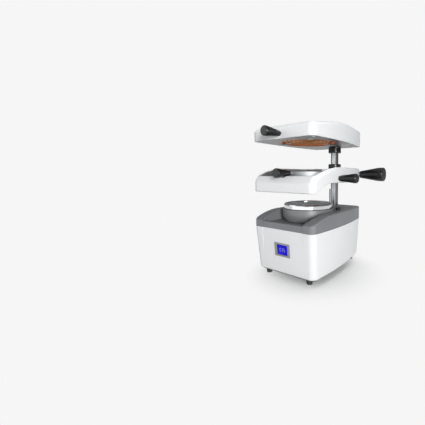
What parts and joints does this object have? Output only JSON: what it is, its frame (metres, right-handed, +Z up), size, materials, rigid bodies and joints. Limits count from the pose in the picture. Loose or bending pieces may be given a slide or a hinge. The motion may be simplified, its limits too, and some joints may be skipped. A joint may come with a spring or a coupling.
{
  "type": "dental vacuum former",
  "caption": "Bench-top dental vacuum former: white base with display, perforated vacuum table, sliding sheet frame and swing-out heater head with a spiral heating tube on one column",
  "frame": {"origin": "centre of the whole machine's box, on the surface that the feet stand on", "axes": "+Z up, the machine's longest extent; front looks along -Y; +X to the right as seen from the front"},
  "size_m": [0.2206, 0.2741, 0.334],
  "materials": {
    "white_plastic": "smooth moulded, semi-gloss",
    "grey_plastic": "fine satin grain",
    "liner_plastic": "fine satin grain",
    "black_plastic": "satin",
    "charcoal_grip": "satin, turned",
    "rubber": "matt",
    "bezel_plastic": "satin",
    "display_glass": "clear window over a lit blue display",
    "circuit_board": "lacquered board with parts",
    "table_metal": "satin grey coat",
    "chrome": "polished",
    "plate_metal": "brushed",
    "steel": "ground",
    "cast_metal": "as cast, machined seats",
    "clamp_metal": "turned",
    "dark_steel": "dark coat",
    "heater_plate": "grey coat",
    "reflector_metal": "heat tinted",
    "coil_metal": "heat tinted tube",
    "ceramic": "unglazed",
    "washer_plastic": "smooth"
  },
  "bodies": {
    "base": {"base_housing": "white_plastic", "bottom_plate": "dark_steel", "rubber_feet": "rubber", "foot_screws": "steel", "housing_screws": "steel", "top_cover": "grey_plastic", "display_frame": "bezel_plastic", "display_window": "display_glass", "display_board": "circuit_board", "vacuum_table": "table_metal", "table_seal": "rubber", "table_ring": "chrome", "perforated_plate": "plate_metal", "table_screws": "steel", "motor_seal": "rubber", "motor_body": "cast_metal", "motor_mount": "rubber", "control_board": "circuit_board", "mains_inlet": "black_plastic", "mains_switch_frame": "black_plastic", "fuse_holder": "black_plastic", "start_switch": "black_plastic", "column": "steel", "column_socket": "cast_metal", "socket_screws": "steel", "guide_pin": "dark_steel", "stop_collar": "charcoal_grip", "thrust_washer": "washer_plastic", "column_cap": "steel"},
    "frame": {"sheet_frame": "white_plastic", "frame_liner": "liner_plastic", "slide_bush": "charcoal_grip", "support_ring": "clamp_metal", "hinge_pin": "steel"},
    "clamp": {"clamp_ring": "clamp_metal", "clamp_seal": "rubber", "clamp_grip": "charcoal_grip"},
    "side_knob": {"clamp_screw_knob": "charcoal_grip"},
    "lock": {"lock_knob": "charcoal_grip", "lock_screw": "steel"},
    "heater": {"heater_cover": "white_plastic", "heater_hub": "cast_metal", "heater_base_plate": "heater_plate", "base_plate_screws": "steel", "reflector": "reflector_metal", "heating_coil": "coil_metal", "coil_supports": "ceramic", "coil_clips": "clamp_metal", "terminal_block": "ceramic", "heater_grip": "charcoal_grip"},
    "fan": {"fan_wheel": "clamp_metal"},
    "rocker": {"mains_rocker": "black_plastic"},
    "button": {"start_button": "black_plastic"}
  },
  "joints": [
    {"name": "frame_slide", "type": "slide", "parent": "base", "child": "frame", "axis": [0, 0, 1], "range_m": [-0.0535, 0.0285]},
    {"name": "clamp_hinge", "type": "hinge", "parent": "frame", "child": "clamp", "pos_m": [-0.02613, 0.07656, 0.219], "axis": [-1, 0, 0], "range_deg": [0, 18]},
    {"name": "side_knob_turn", "type": "hinge", "parent": "frame", "child": "side_knob", "pos_m": [0.05387, -0.00344, 0.2109], "axis": [1, 0, 0], "range_deg": [0, 180]},
    {"name": "lock_knob_turn", "type": "hinge", "parent": "frame", "child": "lock", "pos_m": [0.05387, 0.11956, 0.2193], "axis": [1, 0, 0], "range_deg": [0, 270]},
    {"name": "heater_swing", "type": "hinge", "parent": "base", "child": "heater", "pos_m": [-0.02613, 0.11956, 0.29], "axis": [0, 0, -1], "range_deg": [0, 90]},
    {"name": "fan_spin", "type": "hinge", "parent": "base", "child": "fan", "pos_m": [-0.02613, 0.00056, 0.08], "axis": [0, 0, 1], "continuous": true},
    {"name": "mains_rocker_tilt", "type": "hinge", "parent": "base", "child": "rocker", "pos_m": [-0.00613, 0.1304, 0.03809], "axis": [-1, 0, 0], "range_deg": [0, 16]},
    {"name": "start_button_press", "type": "slide", "parent": "base", "child": "button", "axis": [0, 0, -1], "range_m": [0, 0.002], "stiffness_N_per_m": 400, "springref_m": -0.003}
  ]
}
